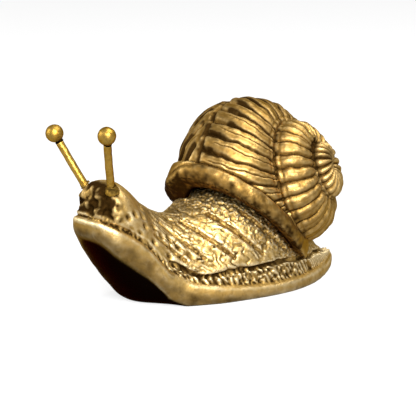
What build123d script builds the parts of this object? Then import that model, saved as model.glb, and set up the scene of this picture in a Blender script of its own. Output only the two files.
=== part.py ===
"""Brass snail ornament: two hollow castings screwed together, with soldered rod-and-ball eyes.

Millimetres. The head looks along -Y, the snail's left side is +X, and the foot stands on Z = 0.
The spire of the shell points to the snail's left, to the rear and up.
"""
import math
import os

from build123d import *

os.makedirs("parts", exist_ok=True)

# Body casting: foot, neck, head and mantle
BODY_LENGTH = 89.0
FOOT_WIDTH = 40.0
BACK_HEIGHT = 34.0
FRONT_LIFT = 24.0
RIM_HEIGHT = 4.5
RIM_BULGE = 1.2
BODY_WALL = 3.2
SOLE_TRIM = 1.0
SOLE_SAG = 5.3
SOLE_TILT = 2.45

# One row for each station from the front lip to the tail: place along the body, half width,
# height, sag and tilt of the sole, height of the rim and of the back, width of flank and shoulder
STATION_SHARES = (
    (0.000, 0.24, 0.935, 0.10, 0.00, 1.00, 0.830, 0.84, 0.52),
    (0.018, 0.37, 0.896, 0.28, 0.00, 1.10, 0.940, 0.88, 0.70),
    (0.050, 0.46, 0.750, 0.66, 0.12, 1.40, 1.030, 0.94, 0.80),
    (0.090, 0.51, 0.577, 0.88, 0.67, 1.65, 1.045, 0.95, 0.77),
    (0.150, 0.56, 0.340, 0.93, 1.00, 1.85, 0.955, 0.86, 0.60),
    (0.220, 0.65, 0.115, 0.46, 0.39, 1.70, 0.793, 0.78, 0.48),
    (0.300, 0.76, 0.020, 0.06, 0.00, 1.50, 0.705, 0.76, 0.46),
    (0.380, 0.88, 0.000, 0.00, 0.00, 1.30, 0.770, 0.78, 0.50),
    (0.470, 0.95, 0.000, 0.00, 0.00, 1.10, 0.920, 0.84, 0.57),
    (0.580, 1.00, 0.000, 0.00, 0.00, 1.00, 1.000, 0.86, 0.60),
    (0.700, 0.95, 0.000, 0.00, 0.00, 1.00, 0.850, 0.84, 0.58),
    (0.800, 0.78, 0.000, 0.00, 0.00, 1.00, 0.540, 0.82, 0.55),
    (0.890, 0.53, 0.000, 0.00, 0.00, 1.00, 0.295, 0.80, 0.50),
    (0.955, 0.30, 0.000, 0.00, 0.00, 1.00, 0.200, 0.78, 0.46),
    (1.000, 0.11, 0.000, 0.00, 0.00, 1.00, 0.155, 0.76, 0.44),
)
FRONT_SHARE = 0.41
FLANK_RISE_SHARE = 0.42
SHOULDER_RISE_SHARE = 0.80
TOP_SHARE = 0.5
HOLLOW_ROWS = (7, 13)

# Relief of the skin on both sides, as places along the body and heights in side view
SKIN_DEPTH = 0.8
CREASE_WIDTH = 1.0
CREASE_POINTS = 2
FOOT_GROOVE_SHARES = ((0.225, 0.375), (0.339, 0.224), (0.470, 0.247), (0.630, 0.278), (0.880, 0.205))
CREASE_SHARES = (
    ((0.185, 0.62), (0.290, 0.36)),
    ((0.230, 0.69), (0.355, 0.36)),
    ((0.320, 0.66), (0.445, 0.35)),
    ((0.400, 0.71), (0.545, 0.35)),
    ((0.490, 0.72), (0.635, 0.37)),
)

# Hollows of the face: share of the half width to the left, place along the body and height
FACE_HOLLOW_DIAMETER = 3.6
FACE_HOLLOW_SHARES = (
    (-0.075, 0.017, 0.960), (0.170, 0.010, 0.915), (0.100, -0.004, 0.840), (0.380, 0.022, 0.800),
    (-0.260, 0.014, 0.880), (-0.360, 0.030, 0.800),
)

# Shell casting: a coil that grows from the apex, counted in half turns
SHELL_RADIUS = 27.2
SHELL_AXIS_TURN = 33.0
SHELL_AXIS_RISE = 23.0
APEX_SIDE = 19.6
APEX_BACK = 33.6
APEX_ABOVE_BACK = 1.9
COIL_BREAKS = (0.8, 2.4, 3.7, 5.0, 6.85)
COIL_STEP = 0.17
LIP_STEPS = 4
RADIUS_SHARES = (0.0, 0.10, 0.24, 0.375, 0.545, 0.70, 1.0, 1.13)
DEPTH_SHARES = (0.0, 0.02, 0.068, 0.155, 0.262, 0.45, 0.807, 0.98)
HALF_HEIGHT_SHARES = (0.02, 0.06, 0.14, 0.185, 0.243, 0.386, 0.537, 0.52)
CROWN_SHARE = 0.5
CORE_SHARE = 0.08
KEEL_ANGLE = 8.0
KEEL_SPREAD = 2.2
KEEL_DEPTH = 0.8
KEEL_START_SHARE = 0.7
KEEL_FALL = 38.0
KEEL_FALL_TURN = 6.0
MOUTH_TURN = 6.42
MOUTH_YAW = 10.5
MOUTH_PITCH = 49.5
LIP_WIDTH = 5.0
LIP_RISE = 0.6
LIP_FLARE = 7.5
LIP_FLARE_TURN = 6.2
RIB_GROOVE = 0.7
RIB_DEPTH = 0.6
RIB_POINTS = 6
RIB_LEAD = 0.1

# Ribs of each whorl from the spire to the mouth: first and last half turn, angle between ribs,
# slant, the angles on the whorl's outline between which they run, and how far these fall with the keel
RIBS = (
    (2.6, 3.6, 18.0, 10.0, 30.0, 78.0, 0, 0),
    (3.6, 4.9, 15.0, 14.0, 2.0, 78.0, 0, 0),
    (5.2, 6.8, 12.5, 35.0, 13.0, 72.0, 1, 0),
    (5.2, 6.2, 12.5, -35.0, -72.0, -10.0, 0, 1),
)
SHELL_WALL = 3.0
SEAT_GAP = 0.15

# Screw and washer that hold the shell down
SCREW_DIAMETER = 4.0
SCREW_LENGTH = 14.0
SCREW_HEAD_DIAMETER = 7.0
SCREW_HEAD_HEIGHT = 2.6
SCREW_SLOT_WIDTH = 1.0
SCREW_SLOT_DEPTH = 1.2
SCREW_CLEARANCE = 0.1
SCREW_HOLE_ROOM = 0.4
WASHER_DIAMETER = 9.0
WASHER_THICKNESS = 0.8
BOSS_DIAMETER = 10.0
PAD_DIAMETER = 11.0
PAD_HEIGHT = 2.5
SCREW_ROW = 9

# Eyes: rods soldered into the head, with balls on spigots
STALK_DIAMETER = 2.2
STALK_SEAT = 4.0
SPIGOT_DIAMETER = 1.3
SPIGOT_LENGTH = 2.4
EYE_BALL_DIAMETER = 5.0
RING_DIAMETER = 2.4
RING_HEIGHT = 0.7
FIT_CLEARANCE = 0.05
FILLET_BELOW = 2.0
FILLET_EDGE = 0.15
LEFT_FILLET_RADIUS = 3.0
LEFT_FILLET_HEIGHT = 3.0
RIGHT_FILLET_RADIUS = 2.5
RIGHT_FILLET_HEIGHT = 1.6
STALK_SPREAD_SHARE = 0.27
STALK_HEIGHT_SHARE = 0.98
LEFT_STALK_PLACE_SHARE = 0.059
LEFT_STALK_LENGTH = 17.1
LEFT_STALK_LEAN = 21.4
LEFT_STALK_SPLAY = 23.0
RIGHT_STALK_PLACE_SHARE = 0.051
RIGHT_STALK_LENGTH = 14.2
RIGHT_STALK_LEAN = 21.0
RIGHT_STALK_SPLAY = 25.5

OVERRUN = 1.0


def station(row, grow):
    """Place of one body station, and its half width and back height with its outline moved out by grow."""
    along, width, *_ = STATION_SHARES[row]
    place = (along - FRONT_SHARE) * BODY_LENGTH
    return place, width * FOOT_WIDTH / 2 + grow, STATION_SHARES[row][6] * BACK_HEIGHT + grow


def upright_plane(place):
    """Plane across the body, with local X along X and local Y along Z."""
    return Plane(origin=(0, place, 0), x_dir=(1, 0, 0), z_dir=(0, -1, 0))


def body_wire(row, grow=0):
    """Closed outline of the body at one station: sole, rounded rims, flanks and back."""
    place, half, back = station(row, grow)
    _, _, sole, sag, tilt, rim, _, flank, shoulder = STATION_SHARES[row]
    edge = half - RIM_BULGE
    middle = sole * FRONT_LIFT - SOLE_TRIM - max(grow, 0)
    left = middle + tilt * SOLE_TILT
    right = middle - tilt * SOLE_TILT
    rise = rim * RIM_HEIGHT
    flank_height = middle + rise + (back - middle - rise) * FLANK_RISE_SHARE
    shoulder_height = middle + rise + (back - middle - rise) * SHOULDER_RISE_SHARE
    if sag:
        under = ThreePointArc((-edge, right), (0, middle - sag * SOLE_SAG), (edge, left))
    else:
        under = Line((-edge, right), (edge, left))
    over = Spline(
        (edge, left + rise),
        (flank * half, flank_height),
        (shoulder * half, shoulder_height),
        (0, back),
        (-shoulder * half, shoulder_height),
        (-flank * half, flank_height),
        (-edge, right + rise),
    )
    left_rim = ThreePointArc((edge, left), (half, left + rise / 2), (edge, left + rise))
    right_rim = ThreePointArc((-edge, right + rise), (-half, right + rise / 2), (-edge, right))
    halves = [over.trim(0, TOP_SHARE), over.trim(TOP_SHARE, 1)]
    return upright_plane(place) * Wire([under, left_rim, *halves, right_rim])


def body_loft(rows, grow=0):
    """Solid through the outlines of the given stations."""
    return Solid.make_loft([body_wire(row, grow) for row in rows])


def below_floor():
    """Block under the floor that the foot stands on."""
    size = 2 * BODY_LENGTH
    return Pos(0, 0, -size / 2) * Box(size, size, size)


def screw_place():
    """Place of the screw along the body, and the height of the roof of the hollow there."""
    place, _, roof = station(SCREW_ROW, -BODY_WALL)
    return place, roof


def rod(radius, low, high, plane=Plane.XY):
    """Round bar along a plane's normal between two heights."""
    return plane.offset(low) * Cylinder(radius, high - low, align=(Align.CENTER, Align.CENTER, Align.MIN))


def in_side_view(along, height):
    """Place in the upright plane along the body of a share of its length and of its height."""
    return Vector((along - FRONT_SHARE) * BODY_LENGTH, height * BACK_HEIGHT)


def skin_point(solid, along, height):
    """Point of the skin of the left side at a place in side view, and its outward normal."""
    place = in_side_view(along, height)
    ray = Axis((FOOT_WIDTH, place.X, place.Y), (-1, 0, 0))
    return solid.find_intersection_points(ray)[0]


def crease(solid, start, end):
    """Thin blade that cuts a crease in the skin of the left side between two places in side view."""
    first = in_side_view(*start)
    last = in_side_view(*end)
    run = Vector(0, last.X - first.X, last.Y - first.Y).normalized()
    plane = Plane(origin=(0, first.X, first.Y), x_dir=(1, 0, 0), z_dir=Vector(1, 0, 0).cross(run))
    inner = []
    outer = []
    for step in range(CREASE_POINTS + 1):
        share = step / CREASE_POINTS
        along = start[0] + (end[0] - start[0]) * share
        height = start[1] + (end[1] - start[1]) * share
        point, normal = skin_point(solid, along, height)
        place = Vector(point.X, (point - plane.origin).dot(run))
        away = Vector(normal.X, normal.dot(run)).normalized()
        inner.append(place - away * SKIN_DEPTH)
        outer.append(place + away * OVERRUN)
    outline = [
        Spline(*inner),
        Line(inner[-1], outer[-1]),
        Spline(*reversed(outer)),
        Line(outer[0], inner[0]),
    ]
    return extrude(plane * Face(Wire(outline)), CREASE_WIDTH / 2, both=True)


def skin_relief(solid):
    """What is cut out of the skin, alike on both sides: the groove over the foot and the main creases."""
    lines = list(zip(FOOT_GROOVE_SHARES, FOOT_GROOVE_SHARES[1:])) + list(CREASE_SHARES)
    cuts = [crease(solid, start, end) for start, end in lines]
    return cuts + [mirror(cut, about=Plane.YZ) for cut in cuts]


def face_hollows():
    """Balls that dent the face."""
    hollows = []
    for side, along, height in FACE_HOLLOW_SHARES:
        place = in_side_view(along, height)
        hollows.append(Pos(side * FOOT_WIDTH / 2, place.X, place.Y) * Sphere(FACE_HOLLOW_DIAMETER / 2))
    return hollows


def body_casting():
    """Hollow casting with the relief of its skin, its screw pad and the two sockets of the eye stalks."""
    place, roof = screw_place()
    at_screw = Plane(origin=(0, place, 0))
    solid = body_loft(range(len(STATION_SHARES)))
    solid = solid.cut(below_floor(), *skin_relief(solid), *face_hollows())
    solid -= body_loft(range(*HOLLOW_ROWS), -BODY_WALL)
    solid += rod(PAD_DIAMETER / 2, roof - PAD_HEIGHT, roof + BODY_WALL / 2, at_screw)
    hole = SCREW_DIAMETER / 2 + SCREW_HOLE_ROOM
    solid -= rod(hole, roof - PAD_HEIGHT - OVERRUN, roof + BODY_WALL + OVERRUN, at_screw)
    for side in EYES:
        solid -= rod(STALK_DIAMETER / 2 + FIT_CLEARANCE, -STALK_SEAT, STALK_SEAT, stalk_plane(side))
    return solid


def shell_axes():
    """Unit vectors of the coil: along the axis to the apex, across it upwards, and to the near side."""
    turn = math.radians(SHELL_AXIS_TURN)
    rise = math.radians(SHELL_AXIS_RISE)
    along = Vector(math.cos(rise) * math.cos(turn), math.cos(rise) * math.sin(turn), math.sin(rise))
    up = (Vector(0, 0, 1) - along * along.Z).normalized()
    return along, up, along.cross(up)


def apex():
    """Point of the shell's axis at the tip of the spire."""
    return Vector(APEX_SIDE, APEX_BACK, BACK_HEIGHT + APEX_ABOVE_BACK)


def coil_size(shares, turn):
    """Size of the coil at a count of half turns from the apex, on a smooth line through its shares."""
    first = min(int(turn), len(shares) - 2)
    part = turn - first
    here, there = shares[first], shares[first + 1]
    before = shares[first - 1] if first else 2 * here - there
    after = shares[first + 2] if first + 2 < len(shares) else 2 * there - here
    leave = (there - before) / 2
    arrive = (after - here) / 2
    gap = there - here
    square = 3 * gap - 2 * leave - arrive
    cube = leave + arrive - 2 * gap
    return SHELL_RADIUS * (here + leave * part + square * part**2 + cube * part**3)


def coil_directions(turn):
    """Directions at a count of half turns: out of the axis, and onwards round it."""
    _, up, near = shell_axes()
    angle = math.pi * turn
    out = up * math.cos(angle) + near * math.sin(angle)
    onwards = near * math.cos(angle) - up * math.sin(angle)
    return out, onwards


def coil_plane(turn):
    """Half plane at a count of half turns, with local X out of the axis and local Y to the apex."""
    out = coil_directions(turn)[0]
    return Plane(origin=apex(), x_dir=out, z_dir=out.cross(shell_axes()[0]))


def whorl_sizes(turn, grow=0):
    """Radius, depth below the apex and half height of the whorl at a count of half turns."""
    radius = coil_size(RADIUS_SHARES, turn) + grow
    depth = coil_size(DEPTH_SHARES, turn)
    half = coil_size(HALF_HEIGHT_SHARES, turn) + grow
    return radius, depth, half


def keel_fall(turn):
    """Angle by which the keel falls towards the far side as it nears the mouth."""
    share = max(turn - KEEL_FALL_TURN, 0) / (MOUTH_TURN - KEEL_FALL_TURN)
    return KEEL_FALL * min(share, 1) ** 2


def whorl_wire(turn, grow=0):
    """Outline of the whorl in one half plane out of the axis, with a groove along its keel."""
    radius, depth, half = whorl_sizes(turn, grow)
    core = CORE_SHARE * radius + max(-grow, 0)
    crown = radius * CROWN_SHARE
    notch = KEEL_DEPTH * max(radius / SHELL_RADIUS - KEEL_START_SHARE, 0) / (1 - KEEL_START_SHARE)
    keel = KEEL_ANGLE - keel_fall(turn)
    centre = (radius - crown, -depth)

    def on_whorl(angle, sink=0):
        turned = math.radians(angle)
        across = centre[0] + (crown - sink) * math.cos(turned)
        return across, centre[1] + (half - sink) * math.sin(turned)

    upper = keel + KEEL_SPREAD
    lower = keel - KEEL_SPREAD
    outline = [
        Line((core, half - depth), on_whorl(90)),
        EllipticalCenterArc(centre, crown, half, 90, arc_size=upper - 90),
        Line(on_whorl(upper), on_whorl(keel, notch)),
        Line(on_whorl(keel, notch), on_whorl(lower)),
        EllipticalCenterArc(centre, crown, half, lower, arc_size=-90 - lower),
        Line(on_whorl(-90), (core, -half - depth)),
        Line((core, -half - depth), (core, half - depth)),
    ]
    return coil_plane(turn) * Wire(outline)


def whorl(first, last, grow=0):
    """Solid of the coil between two counts of half turns."""
    steps = math.ceil((last - first) / COIL_STEP)
    turns = [first + (last - first) * step / steps for step in range(steps + 1)]
    return Solid.make_loft([whorl_wire(turn, grow) for turn in turns])


def slanted_point(turn, slant, middle, angle, sink):
    """Place on a whorl's outline in a plane slanted across it: out of the axis, and along the slant."""
    ahead = 0
    for _ in range(RIB_POINTS):
        radius, depth, half = whorl_sizes(turn + ahead)
        crown = radius * CROWN_SHARE
        out = radius - crown + (crown - sink) * math.cos(math.radians(angle))
        height = (half - sink) * math.sin(math.radians(angle)) - depth
        reach = (height - middle) / math.cos(slant)
        aside = reach * math.sin(slant)
        ahead = math.asin(aside / out) / math.pi
    return out * math.cos(ahead * math.pi), reach


def rib_groove(turn, slant, low, high):
    """Thin curved blade, slanted across a whorl, that cuts the groove between two ribs up to the lip."""
    along = shell_axes()[0]
    out, onwards = coil_directions(turn)
    tilt = math.radians(slant)
    lengthwise = along * math.cos(tilt) + onwards * math.sin(tilt)
    _, depth, half = whorl_sizes(turn)
    middle = half * math.sin(math.radians((low + high) / 2)) - depth
    plane = Plane(origin=apex() + along * middle, x_dir=out, z_dir=out.cross(lengthwise))
    inner = []
    outer = []
    for step in range(RIB_POINTS + 1):
        angle = low + (high - low) * step / RIB_POINTS
        bottom = slanted_point(turn, tilt, middle, angle, RIB_DEPTH)
        if before_mouth(plane.from_local_coords(Vector(*bottom))) < -LIP_WIDTH - RIB_GROOVE:
            inner.append(bottom)
            outer.append(slanted_point(turn, tilt, middle, angle, -OVERRUN))
    if len(inner) <= RIB_POINTS / 2:
        return None
    outline = [
        Spline(*inner),
        Line(inner[-1], outer[-1]),
        Spline(*reversed(outer)),
        Line(outer[0], inner[0]),
    ]
    return extrude(plane * Face(Wire(outline)), RIB_GROOVE / 2, both=True)


def rib_grooves():
    """All the grooves between the ribs of the shell."""
    grooves = []
    for first, last, spacing, slant, low, high, low_share, high_share in RIBS:
        count = math.floor((last - first) * 180 / spacing)
        for number in range(count + 1):
            turn = first + number * spacing / 180
            fall = keel_fall(turn - RIB_LEAD)
            grooves.append(rib_groove(turn, slant, low - low_share * fall, high - high_share * fall))
    return [groove for groove in grooves if groove]


def before_mouth(point):
    """Distance of a point in front of the plane of the shell's mouth."""
    mouth = mouth_plane()
    return (point - mouth.origin).dot(mouth.z_dir)


def mouth_plane():
    """Plane of the shell's mouth, with its normal out of the mouth."""
    yaw = math.radians(MOUTH_YAW)
    pitch = math.radians(MOUTH_PITCH)
    normal = Vector(
        math.sin(yaw) * math.cos(pitch), -math.cos(yaw) * math.cos(pitch), -math.sin(pitch)
    )
    radius, depth, _ = whorl_sizes(MOUTH_TURN)
    middle = apex() - shell_axes()[0] * depth + coil_directions(MOUTH_TURN)[0] * radius
    return Plane(origin=middle, z_dir=normal)


def lip_wire(turn):
    """Outline of the thick lip in one half plane: it stands proud of the whorl and flares on the far side."""
    radius, depth, half = whorl_sizes(turn, LIP_RISE)
    share = max(turn - LIP_FLARE_TURN, 0) / (MOUTH_TURN - LIP_FLARE_TURN)
    far = half + LIP_FLARE * min(share, 1)
    core = CORE_SHARE * radius
    crown = radius * CROWN_SHARE
    centre = (radius - crown, -depth)
    outline = [
        Line((core, half - depth), (centre[0], half - depth)),
        EllipticalCenterArc(centre, crown, half, 90, arc_size=-90),
        EllipticalCenterArc(centre, crown, far, 0, arc_size=-90),
        Line((centre[0], -far - depth), (core, -far - depth)),
        Line((core, -far - depth), (core, half - depth)),
    ]
    return coil_plane(turn) * Wire(outline)


def lip():
    """Thick lip along the shell's mouth."""
    mouth = mouth_plane()
    size = 4 * SHELL_RADIUS
    slab = Box(size, size, LIP_WIDTH, align=(Align.CENTER, Align.CENTER, Align.MIN))
    turns = [MOUTH_TURN + step * COIL_STEP for step in range(-LIP_STEPS, LIP_STEPS)]
    ring = Solid.make_loft([lip_wire(turn) for turn in turns])
    pieces = (ring & mouth.offset(-LIP_WIDTH) * slab).solids()
    return min(pieces, key=lambda piece: piece.distance_to(mouth.origin))


def shell_casting():
    """Hollow ribbed coil with a thick lip, cut to sit on the body, with a boss for the screw."""
    place, roof = screw_place()
    at_screw = Plane(origin=(0, place, 0))
    size = 4 * SHELL_RADIUS
    opening = mouth_plane() * Box(size, size, size, align=(Align.CENTER, Align.CENTER, Align.MIN))
    spire = [whorl(first, last) for first, last in zip(COIL_BREAKS, COIL_BREAKS[1:-1])]
    first, last = COIL_BREAKS[-2:]
    coil = (whorl(first, last) - opening).fuse(lip(), *spire)
    boss = rod(BOSS_DIAMETER / 2, roof, roof + 2 * SCREW_LENGTH, at_screw)
    cavity = whorl(first, last, -SHELL_WALL) - boss
    tip = roof - PAD_HEIGHT - WASHER_THICKNESS + SCREW_LENGTH
    hole = rod(SCREW_DIAMETER / 2 + SCREW_CLEARANCE, roof, tip + OVERRUN, at_screw)
    coil = coil.cut(cavity, body_loft(range(len(STATION_SHARES)), SEAT_GAP), hole)
    coil = max(coil.solids(), key=lambda solid: solid.volume)
    return coil.cut(*rib_grooves())


def shell_screw():
    """Slotted cheese-head screw, pushed up from inside the hollow."""
    place, roof = screw_place()
    at_screw = Plane(origin=(0, place, 0))
    seat = roof - PAD_HEIGHT - WASHER_THICKNESS
    solid = rod(SCREW_HEAD_DIAMETER / 2, seat - SCREW_HEAD_HEIGHT, seat, at_screw)
    solid += rod(SCREW_DIAMETER / 2, seat, seat + SCREW_LENGTH, at_screw)
    slot = Box(SCREW_HEAD_DIAMETER + OVERRUN, SCREW_SLOT_WIDTH, 2 * SCREW_SLOT_DEPTH)
    return solid - at_screw.offset(seat - SCREW_HEAD_HEIGHT) * slot


def shell_washer():
    """Plain washer between the screw's head and the pad."""
    place, roof = screw_place()
    at_screw = Plane(origin=(0, place, 0))
    high = roof - PAD_HEIGHT
    low = high - WASHER_THICKNESS
    hole = rod(SCREW_DIAMETER / 2 + SCREW_CLEARANCE, low - OVERRUN, high + OVERRUN, at_screw)
    return rod(WASHER_DIAMETER / 2, low, high, at_screw) - hole


def stalk_plane(side):
    """Plane at the root of an eye stalk, with its normal along the stalk."""
    sign, _, lean, splay, place, *_ = EYES[side]
    root = (
        sign * STALK_SPREAD_SHARE * FOOT_WIDTH / 2,
        (place - FRONT_SHARE) * BODY_LENGTH,
        STALK_HEIGHT_SHARE * BACK_HEIGHT,
    )
    direction = Vector(sign * math.tan(math.radians(splay)), -math.tan(math.radians(lean)), 1)
    return Plane(origin=root, z_dir=direction)


def ball_height(side):
    """Distance of the ball's centre from the root along the stalk."""
    ball = EYE_BALL_DIAMETER / 2
    ring = RING_DIAMETER / 2
    return EYES[side][1] + RING_HEIGHT + math.sqrt(ball**2 - ring**2)


def eye_stalk(side):
    """Rod with a spigot at its top."""
    plane = stalk_plane(side)
    length = EYES[side][1]
    solid = rod(STALK_DIAMETER / 2, -STALK_SEAT, length, plane)
    return solid + rod(SPIGOT_DIAMETER / 2, length, length + SPIGOT_LENGTH, plane)


def eye_ball(side):
    """Ball with a blind bore for the spigot."""
    plane = stalk_plane(side)
    length = EYES[side][1]
    ball = plane.offset(ball_height(side)) * Sphere(EYE_BALL_DIAMETER / 2)
    bore = SPIGOT_DIAMETER / 2 + FIT_CLEARANCE
    return ball - rod(bore, length, length + SPIGOT_LENGTH + FIT_CLEARANCE, plane)


def ball_solder(side):
    """Ring of solder between the rod's shoulder and the ball."""
    plane = stalk_plane(side)
    length = EYES[side][1]
    ring = rod(RING_DIAMETER / 2, length, length + RING_HEIGHT, plane)
    ring -= plane.offset(ball_height(side)) * Sphere(EYE_BALL_DIAMETER / 2)
    return ring - rod(SPIGOT_DIAMETER / 2 + FIT_CLEARANCE, length - OVERRUN, length + SPIGOT_LENGTH, plane)


def stalk_solder(side, body):
    """Fillet of solder round the root of a stalk, cut to the head."""
    plane = stalk_plane(side)
    *_, radius, height = EYES[side]
    top = STALK_DIAMETER / 2 + FILLET_EDGE
    cone = plane.offset(-FILLET_BELOW) * Cone(
        radius, top, FILLET_BELOW + height, align=(Align.CENTER, Align.CENTER, Align.MIN)
    )
    cone -= rod(STALK_DIAMETER / 2 + FIT_CLEARANCE, -STALK_SEAT, STALK_SEAT, plane)
    cone -= body
    return max(cone.solids(), key=lambda solid: solid.volume)


# For each eye: side, length, lean and splay of its stalk, its place, and the size of its solder
EYES = {
    "left": (
        1, LEFT_STALK_LENGTH, LEFT_STALK_LEAN, LEFT_STALK_SPLAY,
        LEFT_STALK_PLACE_SHARE, LEFT_FILLET_RADIUS, LEFT_FILLET_HEIGHT,
    ),
    "right": (
        -1, RIGHT_STALK_LENGTH, RIGHT_STALK_LEAN, RIGHT_STALK_SPLAY,
        RIGHT_STALK_PLACE_SHARE, RIGHT_FILLET_RADIUS, RIGHT_FILLET_HEIGHT,
    ),
}

body = body_casting()
nodes = {
    "body_casting": body,
    "shell_casting": shell_casting(),
    "shell_screw": shell_screw(),
    "shell_washer": shell_washer(),
}
for side in EYES:
    nodes[side + "_eye_stalk"] = eye_stalk(side)
    nodes[side + "_eye_ball"] = eye_ball(side)
    nodes[side + "_ball_solder"] = ball_solder(side)
    nodes[side + "_stalk_solder"] = stalk_solder(side, body)

boxes = [solid.bounding_box() for solid in nodes.values()]
middle_x = (min(box.min.X for box in boxes) + max(box.max.X for box in boxes)) / 2
middle_y = (min(box.min.Y for box in boxes) + max(box.max.Y for box in boxes)) / 2
for name, solid in nodes.items():
    export_step(Pos(-middle_x, -middle_y, 0) * solid, "parts/" + name + ".step")
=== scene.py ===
"""Brass snail ornament, dressed over its castings: wrinkled body, ribbed shell, rod-and-ball eyes."""
import math

import bpy
import numpy as np
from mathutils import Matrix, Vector, noise


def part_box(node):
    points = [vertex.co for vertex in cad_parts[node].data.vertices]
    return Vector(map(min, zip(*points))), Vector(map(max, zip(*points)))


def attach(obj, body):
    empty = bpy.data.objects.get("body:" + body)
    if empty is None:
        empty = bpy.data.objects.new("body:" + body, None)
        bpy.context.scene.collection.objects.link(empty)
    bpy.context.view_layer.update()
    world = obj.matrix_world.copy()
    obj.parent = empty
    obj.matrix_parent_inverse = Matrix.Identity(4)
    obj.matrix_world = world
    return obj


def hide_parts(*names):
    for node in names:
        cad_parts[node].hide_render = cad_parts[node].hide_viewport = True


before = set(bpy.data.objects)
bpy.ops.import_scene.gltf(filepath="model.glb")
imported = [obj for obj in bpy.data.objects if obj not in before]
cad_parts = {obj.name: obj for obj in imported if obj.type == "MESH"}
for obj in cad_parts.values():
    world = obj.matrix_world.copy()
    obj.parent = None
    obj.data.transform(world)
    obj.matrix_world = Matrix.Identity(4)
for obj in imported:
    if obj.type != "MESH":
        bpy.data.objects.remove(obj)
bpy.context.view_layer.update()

# Camera
# The snail's left front is seen from a little above, through a long lens from half a metre away.
# Places below are millimetres from the middle of the foot, and the castings were laid out from there.
MM = 0.001
BODY_LENGTH = 89.0
FRONT_SHARE = 0.41
body_low, body_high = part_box("body_casting")
FOOT_MIDDLE = Vector(((body_low.x + body_high.x) / 2, body_low.y + FRONT_SHARE * BODY_LENGTH * MM, 0))
LOOK_AT = Vector((0, 8, 22))
VIEW_AZIMUTH = math.radians(51)
VIEW_ELEVATION = math.radians(12.5)
VIEW_DISTANCE = 520
FOCAL_PIXELS = 1820
IMAGE_WIDTH = 416
IMAGE_HEIGHT = 413
LOOK_AT_PIXEL = (213, 211)

to_camera = Vector((
    math.cos(VIEW_ELEVATION) * math.sin(VIEW_AZIMUTH),
    -math.cos(VIEW_ELEVATION) * math.cos(VIEW_AZIMUTH),
    math.sin(VIEW_ELEVATION),
))
bpy.ops.object.select_all(action="DESELECT")
bpy.ops.object.camera_add(location=FOOT_MIDDLE + (LOOK_AT + to_camera * VIEW_DISTANCE) * MM)
camera = bpy.context.active_object
camera.rotation_euler = to_camera.to_track_quat("Z", "Y").to_euler()
camera.data.sensor_width = 36
camera.data.lens = camera.data.sensor_width * FOCAL_PIXELS / IMAGE_WIDTH
camera.data.shift_x = (IMAGE_WIDTH / 2 - LOOK_AT_PIXEL[0]) / IMAGE_WIDTH
camera.data.shift_y = (LOOK_AT_PIXEL[1] - IMAGE_HEIGHT / 2) / IMAGE_WIDTH
camera.data.clip_start = 0.01
bpy.context.scene.camera = camera

# Body casting
# A hollow sand casting in brass: foot, neck, head and mantle in one piece. Its skin was modelled with
# wrinkles, scales and pits, and a smooth rolled rim runs round the foot above a black sole, partly
# black patina and partly painted shade.
BODY_VOXEL = 0.34
CASTING_TRIANGLES = 190000

# The rim in side view: places along the foot, heights of its upper edge and of its lower edge, where
# the sole begins, and how much higher it is on the left side
RIM_PLACES = (-36.5, -34.9, -32.0, -28.5, -23.1, -16.9, -9.8, -2.7, 5.3, 15.1, 52.5)
RIM_HEIGHTS = (25.9, 25.4, 23.3, 20.3, 15.5, 9.4, 6.2, 4.9, 4.0, 3.5, 3.5)
SOLE_HEIGHTS = (21.2, 20.3, 16.8, 12.7, 7.1, 1.8, -0.5, -1.0, -1.0, -1.0, -1.0)
RIM_TILTS = (0.0, 0.0, 0.3, 1.6, 2.45, 1.0, 0.0, 0.0, 0.0, 0.0, 0.0)
TILT_REACH = 10.0

# The fringe of small ribs above the rim: place along the foot and width
FRINGE_PLACES = (-36, -20, -14, -8, -3, 4, 17, 30, 45, 52)
FRINGE_WIDTHS = (0.8, 1.2, 2.4, 2.2, 3.0, 4.4, 5.0, 4.2, 3.0, 2.0)
FRINGE_PITCH = 1.9

# Oval pits on each side of the neck, in side view, and hollows in the face
NECK_PITS = (
    (-22.6, 28.5), (-26.5, 27.5), (-23.4, 26.4), (-23.0, 23.8), (-19.2, 22.6), (-17.1, 19.9), (-14.4, 18.7),
    (-12.5, 16.4), (-28.0, 23.0), (-25.2, 21.8), (-20.5, 19.0), (-16.0, 14.5), (-9.5, 14.0), (-29.0, 27.0),
)
PIT_LENGTH = 1.05
PIT_WIDTH = 0.65
PIT_LEAN = (0.5, -0.87)
FACE_HOLLOWS = (
    (-1.5, -34.7, 32.1, 1.7), (3.4, -35.2, 30.6, 1.6), (1.0, -36.2, 28.3, 1.5), (7.2, -34.1, 27.4, 1.5),
    (-4.5, -35.0, 30.0, 1.4), (-6.5, -33.5, 27.5, 1.4), (4.4, -33.2, 33.2, 1.1),
)

# Zones along the body, each from the place where it starts to the place where it is full
SOLE_ZONE = (6, 10)
HOLLOW_FRONT = (9, 13)
HOLLOW_REAR = (31, 35)
NECK_ZONE = (12, 20)
FACE_ZONE = (29, 32)
FRONT_ZONE = (29, 33)
TAIL_ZONE = (22, 34)
TAIL_TIP_ZONE = (38, 46)

# Heights and depths of the relief
NODULE_HEIGHT = 0.14
CREASE_DEPTH = 0.24
MARK_HEIGHT = 0.03
PIT_DEPTH = 0.85
WRINKLE_DEPTH = 0.34
HOLLOW_DEPTH = 1.1
FOLD_HEIGHT = 0.6
FRINGE_SINK = 0.15
SLOT_DEPTH = 0.75
GROOVE_DEPTH = 0.6
RIM_BEAD = 0.22
RIM_FRONT_SWELL = 0.45
SOLE_DIP = 0.4
TAIL_TIP_DIP = 0.8
COLLAR_GRAIN = 0.35
COLLAR_SINK = 0.2

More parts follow.
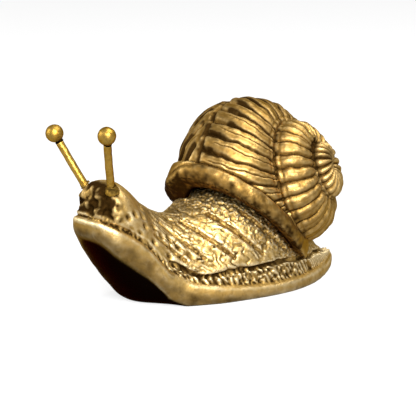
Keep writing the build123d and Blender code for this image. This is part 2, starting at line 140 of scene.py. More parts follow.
# The skin's nodules lean this way in side view and are drawn out along their lean
SKIN_LEAN = (0.72, 0.69)
WORM_STRETCH = (1.0, 1.9, 1.0)
MARK_STRETCH = (1.0, 1.6, 1.0)

# Wrinkles fan out behind the neck from a point above it, with an angle in degrees between them
FAN_MIDDLE = (-27, 34)
WRINKLE_SPACING = 5

# The plane of the shell's mouth, under which the mantle shows
MOUTH_MIDDLE = np.array((13.8, -3.7, 33.05))
MOUTH_NORMAL = np.array((0.118, -0.639, -0.760))


def copied_node(node, name, voxel):
    """A new object with a CAD node's mesh, merged and remeshed in small even faces."""
    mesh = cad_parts[node].data.copy()
    mesh.materials.clear()
    piece = bpy.data.objects.new(name, mesh)
    bpy.context.scene.collection.objects.link(piece)
    bpy.ops.object.select_all(action="DESELECT")
    piece.select_set(True)
    bpy.context.view_layer.objects.active = piece
    bpy.ops.object.mode_set(mode="EDIT")
    bpy.ops.mesh.select_all(action="SELECT")
    bpy.ops.mesh.remove_doubles(threshold=0.001 * MM)
    bpy.ops.object.mode_set(mode="OBJECT")
    remesh = piece.modifiers.new("even_faces", "REMESH")
    remesh.mode = "VOXEL"
    remesh.voxel_size = voxel * MM
    remesh.use_smooth_shade = True
    bpy.ops.object.modifier_apply(modifier=remesh.name)
    return piece


class Skin:
    """The points, normals and edges of a piece as arrays, in millimetres from the middle of the foot."""

    def __init__(self, piece):
        self.piece = piece
        mesh = piece.data
        self.count = len(mesh.vertices)
        flat = np.empty(self.count * 3)
        mesh.vertices.foreach_get("co", flat)
        self.points = flat.reshape(-1, 3) / MM - np.array(FOOT_MIDDLE) / MM
        ends = np.empty(len(mesh.edges) * 2, int)
        mesh.edges.foreach_get("vertices", ends)
        self.ends = ends.reshape(-1, 2)
        self.valence = np.maximum(np.bincount(ends, minlength=self.count), 1)

    def normals(self):
        """Unit normals of the points as the mesh stands."""
        flat = np.empty(self.count * 3)
        self.piece.data.vertex_normals.foreach_get("vector", flat)
        return flat.reshape(-1, 3)

    def broad_normals(self, rounds):
        """Unit normals averaged over the neighbours, so that they pass over narrow grooves."""
        broad = np.stack([self.spread(part, rounds) for part in self.normals().T], 1)
        return broad / np.maximum(np.linalg.norm(broad, axis=1), 0.01)[:, None]

    def spread(self, values, rounds):
        """Values at the points, each averaged with its neighbours over some rounds."""
        first, last = self.ends.T
        for _ in range(rounds):
            total = np.bincount(first, values[last], self.count)
            total += np.bincount(last, values[first], self.count)
            values = (values + total / self.valence) / 2
        return values

    def smoothed(self, rounds):
        """The points moved towards their neighbours over some rounds."""
        return np.stack([self.spread(axis, rounds) for axis in self.points.T], 1)

    def hollows(self, rounds):
        """How far each point lies below the smoothed surface, in millimetres."""
        return np.einsum("ij,ij->i", self.smoothed(rounds) - self.points, self.normals())

    def put(self, points):
        """Moves the points of the mesh to new places."""
        self.points = points
        self.piece.data.vertices.foreach_set("co", ((points + np.array(FOOT_MIDDLE) / MM) * MM).ravel())
        self.piece.data.update()

    def lighten(self, triangles):
        """Collapses the edges that matter least until so many triangles are left."""
        bpy.context.view_layer.objects.active = self.piece
        fewer = self.piece.modifiers.new("fewer_faces", "DECIMATE")
        fewer.ratio = triangles / (2 * len(self.piece.data.polygons))
        bpy.ops.object.modifier_apply(modifier=fewer.name)

    def mark(self, name, values):
        """Stores a value from 0 to 1 for each point under a name that the finish reads."""
        layer = self.piece.data.attributes.new(name, "FLOAT", "POINT")
        layer.data.foreach_set("value", np.clip(values, 0, 1).astype(np.float32))


def lumps(points, size, seed, octaves=2):
    """Smooth noise about 0 at each point, with lumps of about a size."""
    moved = Vector((seed * 17.3, seed * 5.1, seed * 9.7))
    return np.array([noise.fractal(Vector(p) / size + moved, 1, 2, octaves) for p in points])


def step(values, start, end):
    """Smooth step from 0 at start to 1 at end."""
    share = np.clip((values - start) / (end - start), 0, 1)
    return share * share * (3 - 2 * share)


def ridge(values, width):
    """Bell of height 1 at 0."""
    return np.exp(-((values / width) ** 2))


body = copied_node("body_casting", "snail_body", BODY_VOXEL)
skin = Skin(body)
skin.put(skin.smoothed(rounds=4))
front = step(-skin.points[:, 1], *FRONT_ZONE)[:, None]
skin.put(skin.points + 0.7 * front * (skin.smoothed(rounds=40) - skin.points))
points = skin.points
normals = skin.broad_normals(rounds=8)
x, y, z = points.T

lean = np.interp(y, RIM_PLACES, RIM_TILTS) * np.clip(x / TILT_REACH, -1, 1)
rim = np.interp(y, RIM_PLACES, RIM_HEIGHTS)
slope = np.interp(y + 1, RIM_PLACES, RIM_HEIGHTS) - np.interp(y - 1, RIM_PLACES, RIM_HEIGHTS)
above = (z - rim - lean) / np.sqrt(1 + (slope / 2) ** 2)
chord = np.interp(y, RIM_PLACES, SOLE_HEIGHTS) + lean
fringe = np.interp(y, FRINGE_PLACES, FRINGE_WIDTHS)
outside = step(normals[:, 0] * x + normals[:, 2] * (z - 9), -1, 1)
outside = np.maximum(outside, np.maximum(step(-y, *HOLLOW_FRONT), step(y, *HOLLOW_REAR)))
# The sole, the low faces turned to the floor and the inside of the hollow foot are painted black: partly
# black patina, partly painted shade where light from the floor would otherwise show.
sole = step(chord + 0.4 - z, 0, 0.9 + 0.6 * step(-y, 18, 30)) * step(-y, *SOLE_ZONE)
sole = np.maximum(sole, step(-normals[:, 2], 0.55, 0.8) * step(-z, -6, -4))
sole = np.maximum(sole, 1 - outside)

before_mouth = (points - MOUTH_MIDDLE) @ MOUTH_NORMAL

wander = lumps(points, size=5, seed=1)
coarse = lumps(points, size=9, seed=2)
fine = lumps(points, size=1.1, seed=3)

# skin: flattened nodules drawn out downwards and to the rear, parted by short wormy creases
lean_y, lean_z = SKIN_LEAN
turned = np.stack([x, lean_y * y - lean_z * z, lean_z * y + lean_y * z], 1)
warp = np.stack([wander, coarse, lumps(points, size=5, seed=4)], 1)
worms = lumps(turned / WORM_STRETCH + 1.2 * warp, size=2.7, seed=5)
marks = lumps(turned / MARK_STRETCH + 0.8 * warp, size=1.5, seed=6)
patchy = step(lumps(points, size=3.4, seed=9), -0.2, 0.2)
on_skin = step(above - fringe, 0.3, 1.4) * (1 - sole)
on_neck = step(-y, *NECK_ZONE)
scale_share = on_skin * (1 - 0.85 * on_neck)
creases = ridge(worms, 0.1) * (0.3 + 0.7 * patchy) + 0.6 * ridge(marks, 0.1) * (1 - 0.7 * patchy)
height = scale_share * (NODULE_HEIGHT * np.abs(worms) - CREASE_DEPTH * creases + MARK_HEIGHT * marks)
height += on_skin * (0.25 * coarse + 0.08 * wander + 0.02 * fine)

# neck: oval pits in rows, and wrinkles that fan out behind it
pits = np.zeros(skin.count)
for pit_y, pit_z in NECK_PITS:
    along = (y - pit_y) * PIT_LEAN[0] + (z - pit_z) * PIT_LEAN[1]
    across = (y - pit_y) * PIT_LEAN[1] - (z - pit_z) * PIT_LEAN[0]
    pits = np.maximum(pits, ridge(np.hypot(along / PIT_LENGTH, across / PIT_WIDTH), 1))
pits *= on_skin
height -= PIT_DEPTH * pits
fan_y = y - FAN_MIDDLE[0]
fan_z = z - FAN_MIDDLE[1]
fan_reach = np.hypot(fan_y, fan_z)
fan_angle = np.degrees(np.arctan2(fan_z, fan_y))
fan = step(fan_reach, 9, 13) * (1 - step(fan_reach, 22, 28))
fan *= step(fan_angle, -64, -52) * (1 - step(fan_angle, -26, -16)) * on_skin
wrinkles = 1 - step(np.abs(np.sin(np.radians(fan_angle * 180 / WRINKLE_SPACING) + 2.2 * wander)), 0, 0.55)
height -= WRINKLE_DEPTH * fan * wrinkles

# face: hollows and lumps under the eyes
face = np.zeros(skin.count)
folds = lumps(points, size=2.6, seed=7)
for hollow_x, hollow_y, hollow_z, radius in FACE_HOLLOWS:
    away = np.sqrt((x - hollow_x) ** 2 + (y - hollow_y) ** 2 + (z - hollow_z) ** 2)
    face = np.maximum(face, ridge(away + 1.5 * folds, radius))
height -= HOLLOW_DEPTH * face
on_face = step(-y, *FACE_ZONE) * on_skin
height += FOLD_HEIGHT * on_face * folds

# fringe: small slanted ribs in a sunk band, closed above by a deep ragged groove
run = np.where(y > 30, y + np.abs(np.abs(x) - 15), y)
at_tail = step(y, *TAIL_ZONE)
in_fringe = step(above, 0.0, 0.7) * (1 - step(above - fringe, -0.3, 0.6)) * (1 - sole)
knots = lumps(points, size=1.5, seed=14)
ribs = np.cos(2 * math.pi * (run + 0.55 * above + (1.5 - 1.0 * at_tail) * wander) / FRINGE_PITCH)
slots = (0.5 - 0.5 * ribs) * (0.45 + 0.55 * at_tail) + (0.55 - 0.45 * at_tail) * step(knots, -0.1, 0.35)
height -= in_fringe * (FRINGE_SINK + SLOT_DEPTH * slots)
groove = ridge(above - fringe - 0.3 - 0.9 * wander, 0.5) * (1 - sole) * step(y, -20, -12)
height -= groove * (GROOVE_DEPTH + 0.6 * wander)

# rim: smooth, with a few soft dents from handling, fuller in front and lower at the tip of the tail
on_rim = (1 - step(above, -0.2, 0.4)) * (1 - sole)
height += on_rim * (0.16 * wander + 0.15 * coarse + RIM_BEAD * ridge(above + 0.7, 0.7))
height += RIM_FRONT_SWELL * on_rim * step(-y, 26, 33)
height -= SOLE_DIP * sole * step(-y, 10, 16) * (1 - step(-y, 26, 32)) * step(z, 1, 4)
height -= TAIL_TIP_DIP * step(y, *TAIL_TIP_ZONE) * step(normals[:, 2], 0.3, 0.7)

# collar: grainy mantle edge tucked under the shell's lip
collar = (1 - step(before_mouth + 1.5 * wander, 2.0, 5.5)) * on_skin * step(-y, -45, -30)
grains = lumps(points, size=0.8, seed=8)
height += collar * (COLLAR_GRAIN * grains - COLLAR_SINK)

# marks: brown patina and painted shade in all that lies low, bright on what stands out, and black on the
# sole and underside, partly patina and partly painted shade
skin.put(points + normals * height[:, None])
# Hollows at three sizes brown the surface: patina in creases and pits, painted shade in broad hollows such as
# under the shell's lip.
deep = 2.2 * skin.hollows(rounds=3) + 1.5 * skin.hollows(rounds=12) + 0.35 * skin.hollows(rounds=60)
patina_and_shade = step(deep + 0.25 * fine, 0.03, 0.6)
patina_and_shade *= 1 - 0.75 * collar
patina_and_shade = np.maximum(patina_and_shade, 0.95 * pits + 0.8 * face + 0.8 * groove)
broken = 0.3 + 0.7 * step(lumps(points, size=2.4, seed=19), -0.15, 0.15)
patina_and_shade *= 1 - 0.5 * scale_share * (1 - broken)
patina_and_shade = np.maximum(patina_and_shade, scale_share * np.clip(1.4 * creases, 0, 1) * broken * (0.8 + 0.7 * coarse))
patina_and_shade = np.maximum(patina_and_shade, in_fringe * slots * (0.95 - 0.45 * at_tail))
patina_and_shade = np.maximum(patina_and_shade, 0.75 * fan * wrinkles)
# The face is darkened all over, less on its raised folds.
patina_and_shade = np.maximum(patina_and_shade, on_face * (1.1 - 1.9 * np.clip(folds - 0.05, 0, 1) + 0.15 * fine))
patina_and_shade = np.maximum(patina_and_shade, collar * (0.05 + 0.9 * grains))
# Painted shade: the lower band of the rim, which turns down, is darkened, with mottling.
rim_lower_shade = on_rim * step(-above, 0.5, 3.8)
patina_and_shade = np.maximum(patina_and_shade, rim_lower_shade * (0.66 + 0.25 * lumps(points, size=3, seed=18, octaves=3)))
skin.mark("patina_and_shade", patina_and_shade)
skin.mark("black", sole)
skin.mark("worn", step(-deep - 0.1 * fine, 0.02, 0.5) * (1 - 0.8 * on_face))
skin.lighten(CASTING_TRIANGLES)


class Value:
    """A value in a finish's node tree, which sums and products join with Math nodes."""

    def __init__(self, finish, socket):
        self.finish = finish
        self.socket = socket

    def maths(self, operation, first, second):
        """A Math node on two values or numbers."""
        return self.finish.node("ShaderNodeMath", {"operation": operation}, {0: first, 1: second})

    def __add__(self, other):
        return self.maths("ADD", self, other)

    def __sub__(self, other):
        return self.maths("SUBTRACT", self, other)

    def __rsub__(self, other):
        return self.maths("SUBTRACT", other, self)

    def __mul__(self, other):
        return self.maths("MULTIPLY", self, other)

    __radd__ = __add__
    __rmul__ = __mul__


class Finish:
    """The nodes of a new material, or of the world, and a way to add to them."""

    def __init__(self, owner, shader="Principled BSDF"):
        self.owner = owner
        owner.use_nodes = True
        self.tree = owner.node_tree
        self.shader = self.tree.nodes[shader]

    def node(self, kind, settings, sockets, output=0):
        """Adds a node, sets its settings, then the values or links of its sockets."""
        made = self.tree.nodes.new(kind)
        for name, value in settings.items():
            if name == "stops":
                for stop, (place, shade) in zip(made.color_ramp.elements, value):
                    stop.position = place
                    stop.color = (shade, shade, shade, 1)
            else:
                setattr(made, name, value)
        for name, value in sockets.items():
            self.plug(made.inputs[name], value)
        return Value(self, made.outputs[output])

    def plug(self, socket, value):
        """Links a value to a socket, or sets the socket to a number or colour."""
        if isinstance(value, Value):
            self.tree.links.new(value.socket, socket)
        else:
            socket.default_value = value

    def set(self, **sockets):
        """Sets or links sockets of the shader, with underscores for the spaces in their names."""
        for name, value in sockets.items():
            self.plug(self.shader.inputs[name.replace("_", " ")], value)

    def show(self, output, share, second):
        """Shows a second shader in a share of the rays, mixed with the shader that was there."""
        sockets = {0: share, 1: Value(self, self.shader.outputs[0]), 2: second}
        mixed = self.node("ShaderNodeMixShader", {}, sockets)
        self.plug(self.tree.nodes[output].inputs["Surface"], mixed)

    def mix(self, share, first, second):
        """Colour between two colours."""
        sockets = {0: share, 6: first, 7: second}
        return self.node("ShaderNodeMix", {"data_type": "RGBA"}, sockets, 2)

    def marked(self, name):
        """The value that a piece's points store under a name."""
        return self.node("ShaderNodeAttribute", {"attribute_name": name}, {}, "Fac")

    def clouds(self, size, detail=3, low=0.35, high=0.65):
        """Noise from 0 to 1 in patches of about a size in millimetres."""
        place = self.node("ShaderNodeTexCoord", {}, {}, "Object")
        sockets = {"Vector": place, "Scale": 1 / (size * MM), "Detail": detail}
        patches = self.node("ShaderNodeTexNoise", {}, sockets)
        return self.node("ShaderNodeValToRGB", {"stops": ((low, 0), (high, 1))}, {"Fac": patches})

    def bumped(self, height, depth):
        """Normal of a surface with a height that varies by a depth in millimetres."""
        sockets = {"Strength": 1, "Distance": depth * MM, "Height": height}
        return self.node("ShaderNodeBump", {}, sockets)


SPECK_BROWN = (0.16, 0.085, 0.018, 1)
PATINA_AND_SHADE_BROWN = (0.034, 0.016, 0.003, 1)
BLACK_PATINA_AND_SHADE = (0.004, 0.002, 0.001, 1)
EDGE_TINT = (0.55, 0.38, 0.16, 1)


def cast_brass(name, roughness, gold, pale, rust):
    """Old cast brass: rubbed bright on what stands out, brown in the hollows and black on the sole,
    both as patina and as painted shade.
    """
    finish = Finish(bpy.data.materials.new(name))
    patches = finish.clouds(7)
    grain = finish.clouds(0.7)
    specks = finish.clouds(1.6, 4, 0.52, 0.7)
    patina_and_shade = finish.marked("patina_and_shade")
    tarnish = finish.mix(patches, gold, rust)
    metal = finish.mix(finish.marked("worn"), tarnish, pale)
    speckled = finish.mix(specks * 0.35, metal, SPECK_BROWN)
    browned = finish.mix(patina_and_shade, speckled, PATINA_AND_SHADE_BROWN)
    black = finish.marked("black")
    finish.set(Base_Color=finish.mix(black, browned, BLACK_PATINA_AND_SHADE))
    finish.set(Metallic=1 - 0.12 * (patina_and_shade * (1 - black)), Specular_Tint=EDGE_TINT)
    finish.set(Roughness=roughness + 0.1 * patches + 0.25 * patina_and_shade + 0.08 * grain)
    finish.set(Normal=finish.bumped(grain, 0.03))
    return finish.owner


body.data.materials.append(cast_brass(
    "cast_brass", 0.4, (0.58, 0.38, 0.12, 1), (0.88, 0.72, 0.42, 1), (0.44, 0.27, 0.07, 1)
))
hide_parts("body_casting")
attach(body, "root")

# Shell casting
# A second hollow casting: a coil of three whorls with broad slanting ribs, a groove along its keel and
# a thick smooth lip at the mouth. It sits on the back and is drawn down by a hidden screw.
SHELL_VOXEL = 0.34
SHELL_RADIUS = 27.2
SHELL_AXIS_TURN = math.radians(33)
SHELL_AXIS_RISE = math.radians(23)
APEX = np.array((19.6, 33.6, 35.9))
RADIUS_SHARES = (0.0, 0.10, 0.24, 0.375, 0.545, 0.70, 0.98, 1.11)
DEPTH_SHARES = (0.0, 0.02, 0.068, 0.155, 0.262, 0.48, 0.807, 0.98)
HALF_HEIGHT_SHARES = (0.02, 0.06, 0.14, 0.185, 0.243, 0.386, 0.537, 0.52)
CROWN_SHARE = 0.5
FIRST_TURN = 0.8
LAST_TURN = 6.85
KEEL_ANGLE = 8.0
KEEL_FALL = 38.0
KEEL_FALL_TURN = 6.0
MOUTH_TURN = 6.42
LIP_WIDTH = 5.0

# Half turns over which the second whorl, the first whorl and the lip begin, counted from the apex
SECOND_WHORL = (3.55, 3.65)
FIRST_WHORL = (5.0, 5.2)
LIP_BEGINS = (6.0, 6.1)

# Heights and depths of the relief
KEEL_DEPTH = 1.1
CAP_SWELL = 0.7
GAP_DEPTH = 0.9
GAP_WIDTH = 1.1
LIP_EDGE_DEPTH = 0.45
LIP_ROLL = 0.5
LIP_SINK = 0.3
LIP_DROOP = 1.6
UNDER_LIP_GRAIN = 0.3

# Ribs of each whorl: first half turn, angle between ribs, slant, and the angles at which they end
SPIRE_RIBS = (2.6, 18.0, 10.0, 30.0, 78.0)
MIDDLE_RIBS = (3.6, 15.0, 14.0, 2.0, 78.0)
BODY_RIBS = (5.2, 12.5, 35.0, 13.0, 72.0)
FAR_RIBS = (5.2, 12.5, -35.0, -72.0, -10.0)

axis = np.array((
    math.cos(SHELL_AXIS_RISE) * math.cos(SHELL_AXIS_TURN),
    math.cos(SHELL_AXIS_RISE) * math.sin(SHELL_AXIS_TURN),
    math.sin(SHELL_AXIS_RISE),
))
upward = np.array((0, 0, 1)) - axis * axis[2]
upward /= np.linalg.norm(upward)
nearward = np.cross(axis, upward)


def coil_size(shares, turn):
    """Size of the coil at counts of half turns from the apex, on a smooth line through its shares."""
    table = np.array(shares)
    first = np.clip(turn.astype(int), 0, len(table) - 2)
    part = turn - first
    here, there = table[first], table[first + 1]
    before = np.where(first > 0, table[np.maximum(first - 1, 0)], 2 * here - there)
    after = np.where(first < len(table) - 2, table[np.minimum(first + 2, len(table) - 1)], 2 * there - here)
    leave, arrive, gap = (there - before) / 2, (after - here) / 2, there - here
    curve = (3 * gap - 2 * leave - arrive) * part**2 + (leave + arrive - 2 * gap) * part**3
    return SHELL_RADIUS * (here + leave * part + curve)


def keel_angle(turn):
    """Angle of the keel on the whorl's outline, in degrees."""
    share = np.clip((turn - KEEL_FALL_TURN) / (MOUTH_TURN - KEEL_FALL_TURN), 0, 1)
    return KEEL_ANGLE - KEEL_FALL * share**2


shell = copied_node("shell_casting", "snail_shell", SHELL_VOXEL)
coat = Skin(shell)
coat.put(coat.smoothed(rounds=3))
points = coat.points
normals = coat.broad_normals(rounds=20)

# where each point lies on the coil: half turns, angle on the outline, and distance from the outline
offset = points - APEX
rise = offset @ axis
radial = offset - rise[:, None] * axis
out = np.linalg.norm(radial, axis=1)
radial /= np.maximum(out, 0.01)[:, None]
around = np.arctan2(radial @ nearward, radial @ upward) / math.pi
choices = []
for lap in range(4):
    turn = around + 2 * lap
    valid = (turn >= FIRST_TURN) & (turn <= LAST_TURN)
    held = np.clip(turn, FIRST_TURN, LAST_TURN)
    radius = coil_size(RADIUS_SHARES, held)
    crown = radius * CROWN_SHARE
    half = coil_size(HALF_HEIGHT_SHARES, held)
    sideways = np.maximum(out - radius + crown, 0)
    lengthwise = rise + coil_size(DEPTH_SHARES, held)
    level = np.hypot(sideways / crown, lengthwise / half)
    distance = np.hypot(sideways, lengthwise) * (1 - 1 / np.maximum(level, 0.01))
    distance = np.where(valid, distance, 99)
    choices.append((distance, held, radius, crown, half, sideways, lengthwise, level))
ranks = np.argsort(np.abs(np.stack([choice[0] for choice in choices])), axis=0)
rows = np.arange(coat.count)
picked = [np.stack([choice[item] for choice in choices])[ranks[0], rows] for item in range(8)]
distance, turn, radius, crown, half, sideways, lengthwise, level = picked
other = np.abs(np.stack([choice[0] for choice in choices])[ranks[1], rows])
angle = np.degrees(np.arctan2(lengthwise / half, sideways / crown))
facing = radial * (sideways / crown**2)[:, None] + axis * (lengthwise / half**2)[:, None]
facing /= np.maximum(np.linalg.norm(facing, axis=1), 1e-6)[:, None]

before_mouth = (points - MOUTH_MIDDLE) @ MOUTH_NORMAL
agrees = step(np.einsum("ij,ij->i", normals, facing), 0.5, 0.8)
last_whorl = step(turn, 5.0, 5.15)
keel_side = (angle - keel_angle(turn)) * np.radians(1) * (crown + half) / 2
band = LIP_WIDTH * (0.5 + 0.5 * step(keel_side, -10, 3))
lip = step(before_mouth + band, -0.5, 0.3) * last_whorl * step(turn, *LIP_BEGINS)
on_whorl = agrees * (1 - step(np.abs(distance), 1.0, 1.7)) * (1 - lip)
inside = step(-distance, 1.5, 2.2) * step(other, 1.5, 2.2)

# the wall is drawn back to the true coil, which also clears the steps of the remeshing
target = (radial * (sideways / level)[:, None] + axis * (lengthwise / level)[:, None])
current = radial * sideways[:, None] + axis * lengthwise[:, None]
points = points + (target - current) * on_whorl[:, None]


def rib_phase(ribs):
    """How far each point has come along a row of ribs, counted in ribs."""
    first, spacing, slant, low, high = ribs
    start = turn
    for _ in range(3):
        middle = coil_size(HALF_HEIGHT_SHARES, start) * math.sin(math.radians((low + high) / 2))
        middle = middle - coil_size(DEPTH_SHARES, start)
        aside = (rise - middle) * math.tan(math.radians(slant)) / np.maximum(out, 1)
        start = turn - np.arcsin(np.clip(aside, -1, 1)) / math.pi
        start = np.clip(start, FIRST_TURN, LAST_TURN)
    return (start - first) * 180 / spacing


def rib_profile(phase, spacing, bulge, cut, width, line):
    """Height of a row of rounded ribs with grooves between them and a thin line on each, and their stains."""
    part = phase - np.floor(phase)
    pitch = np.maximum(out, 3) * math.radians(spacing)
    to_groove = np.minimum(part, 1 - part) * pitch
    vary = 0.75 + 0.45 * np.sin(np.floor(phase) * 12.9898)
    grooves = cut * ridge(to_groove, width)
    lines = line * vary * ridge((part - 0.36 - 0.08 * vary) * pitch, 0.24)
    stains = cut * ridge(to_groove + 0.12 * pitch * (part < 0.5), 2.1 * width) + 0.8 * lines
    return bulge * (1 - (2 * part - 1) ** 2) - grooves - lines, stains


wander = lumps(points, size=4, seed=11)
coarse = lumps(points, size=10, seed=12)
fine = lumps(points, size=0.9, seed=13)
whorl_one = step(turn, *FIRST_WHORL)
whorl_two = step(turn, *SECOND_WHORL) * (1 - whorl_one)
whorl_three = 1 - step(turn, *SECOND_WHORL)

# ribs: bulge, depth and width of the grooves, depth of the thin lines, and how far the rows wander
knobs = lumps(points, size=2.0, seed=16)
height = 0.22 * wander + 0.25 * coarse + 0.03 * fine
stain = np.zeros(coat.count)
for ribs, share, bulge, cut, width, line, soften in (
    (BODY_RIBS, whorl_one * step(keel_side, 0.3, 1.2), 0.45, 0.6 + 0.6 * (1 - step(keel_side, 3, 15)),
     0.34 + 0.5 * (1 - step(keel_side, 2, 13)), 0.42 * step(keel_side, 3, 6), 0.1),
    (FAR_RIBS, whorl_one * step(-keel_side, 1.6, 2.8), 0.45, 1.0, 0.75, 0.25, 0.14),
    (MIDDLE_RIBS, whorl_two, 0.6, 0.3, 0.5, 0.14, 0.16),
    (SPIRE_RIBS, whorl_three, 0.7, 0.5, 0.45, 0.0, 0.15),
):
    profile, grooves = rib_profile(rib_phase(ribs) + soften * wander, ribs[1], bulge, cut, width, line)
    height += share * profile
    stain += share * grooves
height += whorl_two * 0.1 * knobs

# keel, sutures, and the cap at the apex, which stands out of a deep gap
keel_groove = ridge(keel_side + 0.5 * wander, 0.85 + 0.5 * np.clip(wander, -0.5, 0.5)) * whorl_one
height -= KEEL_DEPTH * keel_groove
height += 0.08 * ridge(other - 1.0, 0.4) - 0.2 * ridge(other - 0.3, 0.35) - 0.1 * ridge(other - 1.9, 0.3)
inward = ranks[1] < ranks[0]
gap = ridge(other, GAP_WIDTH) * np.where(inward, whorl_two, whorl_three)
height += CAP_SWELL * whorl_three * (1 - ridge(other, 1.6)) - GAP_DEPTH * gap
height *= on_whorl

# lip: a smooth roll with a groove behind it, hanging lower on the far side, and grainy underneath
edge = ridge(before_mouth + band, 0.6) * last_whorl * agrees * step(turn, *LIP_BEGINS)
height -= LIP_EDGE_DEPTH * edge * step(keel_side, 0.0, 1.0)
push = facing * on_whorl[:, None] + normals * (1 - on_whorl)[:, None]
roll = np.clip(1 - (2 * before_mouth / band + 1) ** 2, 0, 1)
height += lip * agrees * (LIP_ROLL * roll - LIP_SINK + 0.35 * wander + 0.2 * coarse)
under_lip = step(before_mouth, -1.4, -0.5) * step(coat.normals() @ MOUTH_NORMAL, 0.5, 0.8)
grains = lumps(points, size=0.8, seed=17)
height += under_lip * UNDER_LIP_GRAIN * grains
droop = step(-keel_side, 3, 11) * step(before_mouth, -5, -1) * last_whorl * step(turn, 6.0, 6.2)
coat.put(points + push * height[:, None] + LIP_DROOP * droop[:, None] * MOUTH_NORMAL)
rounding = step(before_mouth, -3.4, -1.2)[:, None]
coat.put(coat.points + (coat.smoothed(rounds=24) - coat.points) * rounding)

# marks: brown patina and painted shade in the grooves and gaps, painted shade under the lip, darker on the
# lip towards its edge and on the far side, black inside as patina and painted shade, bright on the ribs
deep = 2.0 * coat.hollows(rounds=3) + 1.4 * coat.hollows(rounds=12) + 0.25 * coat.hollows(rounds=50)
patina_and_shade = step(1.3 * deep + 0.2 * fine, 0.04, 0.6)
smudge = 0.6 + 1.0 * coarse + 0.5 * knobs
smudge = np.clip(smudge + 0.4 * whorl_one, 0, 1)
patina_and_shade = np.maximum(patina_and_shade, on_whorl * np.clip(2.1 * stain, 0, 1.05) * smudge)
patina_and_shade = np.maximum(patina_and_shade, on_whorl * gap)
keel_stain = ridge(keel_side + 0.5 * wander, 1.5 + 0.9 * np.clip(knobs, -0.8, 0.8)) * whorl_one
patina_and_shade = np.maximum(patina_and_shade, keel_stain * on_whorl * (1.2 + 0.8 * knobs))
patina_and_shade = np.maximum(patina_and_shade, whorl_two * on_whorl * (1 - step(other, 0.8, 4.0)) * (0.4 + 1.2 * knobs))
# Under the lip the surface is dark: grainy patina, and painted shade where the lip overhangs.
patina_and_shade = np.maximum(patina_and_shade, under_lip * (0.75 + 0.8 * grains))
# The lip is darker towards the mouth's edge and on the far side beyond the keel.
lip_darkening = 0.2 + 0.45 * step(before_mouth / band, -0.6, -0.1) + 0.4 * step(-keel_side, 2, 9)
patina_and_shade = np.maximum(patina_and_shade, lip * (lip_darkening + 0.8 * knobs))
coat.mark("patina_and_shade", patina_and_shade)
# The inside of the hollow shell is black, partly as patina and partly as painted shade.
coat.mark("black", inside)
coat.mark("worn", step(-deep - 0.1 * fine, 0.03, 0.5))
coat.lighten(CASTING_TRIANGLES)
shell.data.materials.append(cast_brass(
    "shell_brass", 0.34, (0.40, 0.235, 0.06, 1), (0.66, 0.45, 0.175, 1), (0.28, 0.155, 0.035, 1)
))
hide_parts("shell_casting")
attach(shell, "root")

# Eyes
# Drawn brass rods are soldered into sockets in the head, and each carries a turned ball on a spigot.
# The solder ran into a lumpy fillet at the root, and the ring under the ball is coloured near black.
EYE_VOXEL = 0.14
ROD_ROUGHNESS = 0.27
STALK_BOW = 0.2
BOW_WAY = np.array((0.63, 0.78, 0))
ROD_COLOURS = ((0.50, 0.29, 0.045, 1), (0.68, 0.44, 0.10, 1), (0.36, 0.19, 0.022, 1))
EYE_SLOTS = ("rod_brass", "solder", "dark_solder")
eye_finishes = {name: cast_brass(name, ROD_ROUGHNESS, *ROD_COLOURS) for name in EYE_SLOTS}
for side in ("left", "right"):
    for part, slot_name, wave, dark in (
        ("eye_stalk", "rod_brass", 0.07, 0.04),
        ("eye_ball", "rod_brass", 0.05, 0.22),
        ("stalk_solder", "solder", 0.35, 0.6),
        ("ball_solder", "dark_solder", 0.05, 1.0),
    ):
        node = side + "_" + part
        piece = copied_node(node, node + "_finished", EYE_VOXEL)
        film = Skin(piece)
        film.put(film.smoothed(rounds=3))
        film.put(film.points + film.normals() * (wave * lumps(film.points, size=2.2, seed=21))[:, None])
        if part == "eye_stalk":
            low, high = film.points[:, 2].min(), film.points[:, 2].max()
            bow = np.sin(math.pi * (film.points[:, 2] - low) / (high - low))
            film.put(film.points - STALK_BOW * bow[:, None] * BOW_WAY)
        stain = lumps(film.points, size=1.5, seed=22)
        film.mark("patina_and_shade", dark + 0.5 * stain + 2.0 * film.hollows(rounds=8))
        # The ring under each ball is coloured near black.
        film.mark("black", np.full(film.count, 0.9 if part == "ball_solder" else 0.0))
        film.mark("worn", 0.35 + 0.5 * stain)
        piece.data.materials.append(eye_finishes[slot_name])
        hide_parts(node)
        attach(piece, "root")

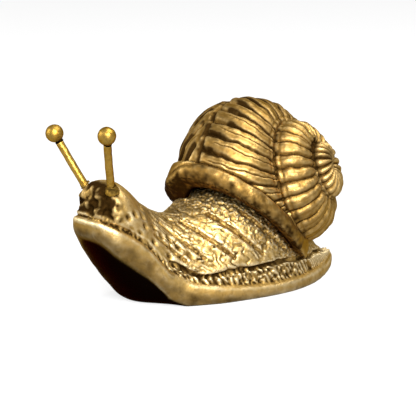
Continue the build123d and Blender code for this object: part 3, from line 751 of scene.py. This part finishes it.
# Screw and washer
# A plated steel machine screw with a plain washer under its head, both bought parts. They sit inside
# the hollow foot and draw the shell down on to the back.
steel = Finish(bpy.data.materials.new("plated_steel"))
brushed = steel.clouds(0.6)
steel.set(Base_Color=steel.mix(brushed, (0.36, 0.35, 0.33, 1), (0.50, 0.49, 0.46, 1)))
steel.set(Metallic=1.0, Roughness=0.3 + 0.15 * brushed, Normal=steel.bumped(brushed, 0.01))
for node in ("shell_screw", "shell_washer"):
    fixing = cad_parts[node]
    fixing.data.materials.clear()
    fixing.data.materials.append(steel.owner)

# Floor and light
# A table covered in white paper, in front of a white wall. Three soft boxes light it: a strong one
# beside the camera, a weak one far to the left, and one above and behind.
bpy.ops.object.select_all(action="DESELECT")
bpy.ops.mesh.primitive_plane_add(size=6)
floor = bpy.context.active_object
floor.name = "floor"
paper = Finish(bpy.data.materials.new("white_paper"))
seen = paper.node("ShaderNodeLightPath", {}, {}, "Is Camera Ray")
paper.set(Base_Color=paper.mix(seen, (0.3, 0.3, 0.3, 1), (0.92, 0.92, 0.92, 1)), Roughness=0.9)
glow = paper.node("ShaderNodeEmission", {}, {"Color": (1, 1, 1, 1), "Strength": 1.0})
paper.show("Material Output", 0.72 * seen, glow)
floor.data.materials.append(paper.owner)


def soft_box(name, place, size, power):
    """Square lamp that faces the snail."""
    lamp = bpy.data.lights.new(name, "AREA")
    lamp.size = size
    lamp.energy = power
    box = bpy.data.objects.new(name, lamp)
    box.location = place
    box.rotation_euler = Vector(place).to_track_quat("Z", "Y").to_euler()
    bpy.context.scene.collection.objects.link(box)


soft_box("key_box", (0.7, -0.4, 0.5), size=0.5, power=17)
soft_box("fill_box", (-0.55, -0.75, 0.4), size=0.5, power=5)
soft_box("top_box", (0.2, 0.3, 0.9), size=0.6, power=7)
studio = Finish(bpy.data.worlds.new("studio"), "Background")
studio.set(Color=(1, 1, 1, 1), Strength=0.4)
wall = studio.node("ShaderNodeBackground", {}, {"Color": (1, 1, 1, 1)})
seen = studio.node("ShaderNodeLightPath", {}, {}, "Is Camera Ray")
studio.show("World Output", seen, wall)
bpy.context.scene.world = studio.owner
bpy.context.scene.view_settings.view_transform = "Standard"
